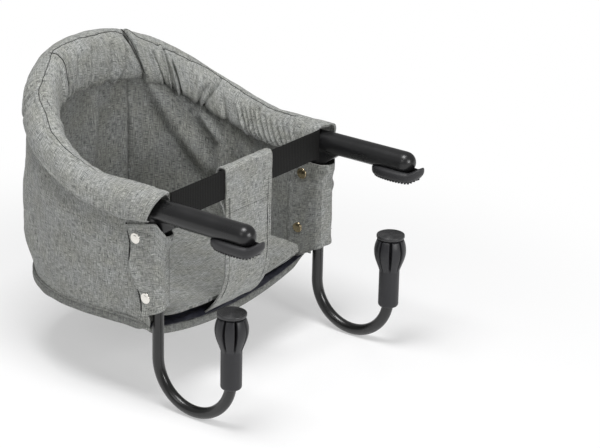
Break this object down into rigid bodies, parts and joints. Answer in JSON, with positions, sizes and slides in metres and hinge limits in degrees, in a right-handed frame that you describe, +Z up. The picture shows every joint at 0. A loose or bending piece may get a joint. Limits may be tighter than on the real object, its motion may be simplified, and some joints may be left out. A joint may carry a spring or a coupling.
{
  "type": "clip-on table seat",
  "caption": "Fabric bucket seat for a small child that clips on a table: two steel side frames with rubber-padded arms above and screw clamps below.",
  "frame": {"origin": "on the plane of the table's top face, where the arm pads rest, midway between the two upright clamp axes", "axes": "+X from the seat's near arm to its far arm, +Y from the table towards the back of the seat, +Z up"},
  "size_m": [0.422, 0.495, 0.4251],
  "materials": {
    "black_steel": "gloss black powder coat",
    "grip_plastic": "fine matt charcoal",
    "black_plastic": "matt black",
    "knob_plastic": "matt dark grey",
    "rubber_pad": "matt dark grey rubber",
    "zinc_steel": "zinc plated",
    "nickel": "polished nickel",
    "aged_nickel": "dark bronze-toned nickel",
    "heather_cloth": "heather grey plain weave",
    "lining_cloth": "heather grey plain weave, darker",
    "navy_nylon": "smooth dark navy nylon",
    "black_webbing": "black woven webbing"
  },
  "bodies": {
    "seat": {"left_knuckle": "black_plastic", "right_knuckle": "black_plastic", "left_hoop_rivet": "zinc_steel", "right_hoop_rivet": "zinc_steel", "left_hem": "heather_cloth", "right_hem": "heather_cloth", "left_outer_panel": "heather_cloth", "right_outer_panel": "heather_cloth", "left_lining": "lining_cloth", "right_lining": "lining_cloth", "left_corner_flap": "heather_cloth", "right_corner_flap": "heather_cloth", "left_outer_snap_upper": "nickel", "right_outer_snap_upper": "nickel", "left_outer_snap_lower": "nickel", "right_outer_snap_lower": "nickel", "left_inner_snap_upper": "aged_nickel", "right_inner_snap_upper": "aged_nickel", "left_inner_snap_lower": "aged_nickel", "right_inner_snap_lower": "aged_nickel", "hoop_tube": "black_steel", "back_hem": "heather_cloth", "back_outer_panel": "heather_cloth", "back_lining": "lining_cloth", "seat_top": "heather_cloth", "seat_board": "black_plastic", "bottom_panel": "lining_cloth", "pocket_lining": "navy_nylon", "bottom_binding": "lining_cloth", "waist_strap": "black_webbing", "crotch_strap": "heather_cloth"},
    "left_frame": {"left_side_tube": "black_steel", "left_arm_grip": "grip_plastic", "left_table_pad": "rubber_pad", "left_tube_nut": "zinc_steel", "left_stop_collar": "zinc_steel"},
    "left_clamp": {"left_rubber_cap": "rubber_pad", "left_pressure_plate": "zinc_steel"},
    "left_knob": {"left_clamp_knob": "knob_plastic", "left_spindle": "zinc_steel"},
    "right_frame": {"right_side_tube": "black_steel", "right_arm_grip": "grip_plastic", "right_table_pad": "rubber_pad", "right_tube_nut": "zinc_steel", "right_stop_collar": "zinc_steel"},
    "right_clamp": {"right_rubber_cap": "rubber_pad", "right_pressure_plate": "zinc_steel"},
    "right_knob": {"right_clamp_knob": "knob_plastic", "right_spindle": "zinc_steel"}
  },
  "joints": [
    {"name": "left_fold", "type": "hinge", "parent": "seat", "child": "left_frame", "pos_m": [-0.18, 0.126, -0.027], "axis": [0, 0, 1], "range_deg": [0, 70], "deforming": ["waist_strap"]},
    {"name": "left_clamp_lift", "type": "slide", "parent": "left_frame", "child": "left_clamp", "axis": [0, 0, 1], "range_m": [0, 0.065]},
    {"name": "left_knob_turn", "type": "hinge", "parent": "left_clamp", "child": "left_knob", "pos_m": [-0.18, 0, -0.14], "axis": [0, 0, 1], "range_deg": [0, 4680]},
    {"name": "right_fold", "type": "hinge", "parent": "seat", "child": "right_frame", "pos_m": [0.18, 0.126, -0.027], "axis": [0, 0, -1], "range_deg": [0, 70], "deforming": ["waist_strap"]},
    {"name": "right_clamp_lift", "type": "slide", "parent": "right_frame", "child": "right_clamp", "axis": [0, 0, 1], "range_m": [0, 0.065]},
    {"name": "right_knob_turn", "type": "hinge", "parent": "right_clamp", "child": "right_knob", "pos_m": [0.18, 0, -0.14], "axis": [0, 0, 1], "range_deg": [0, 4680]}
  ],
  "couplings": [
    {"joint": "left_knob_turn", "follows": "left_clamp_lift", "rad_per_m": 1256.6},
    {"joint": "right_knob_turn", "follows": "right_clamp_lift", "rad_per_m": 1256.6}
  ]
}
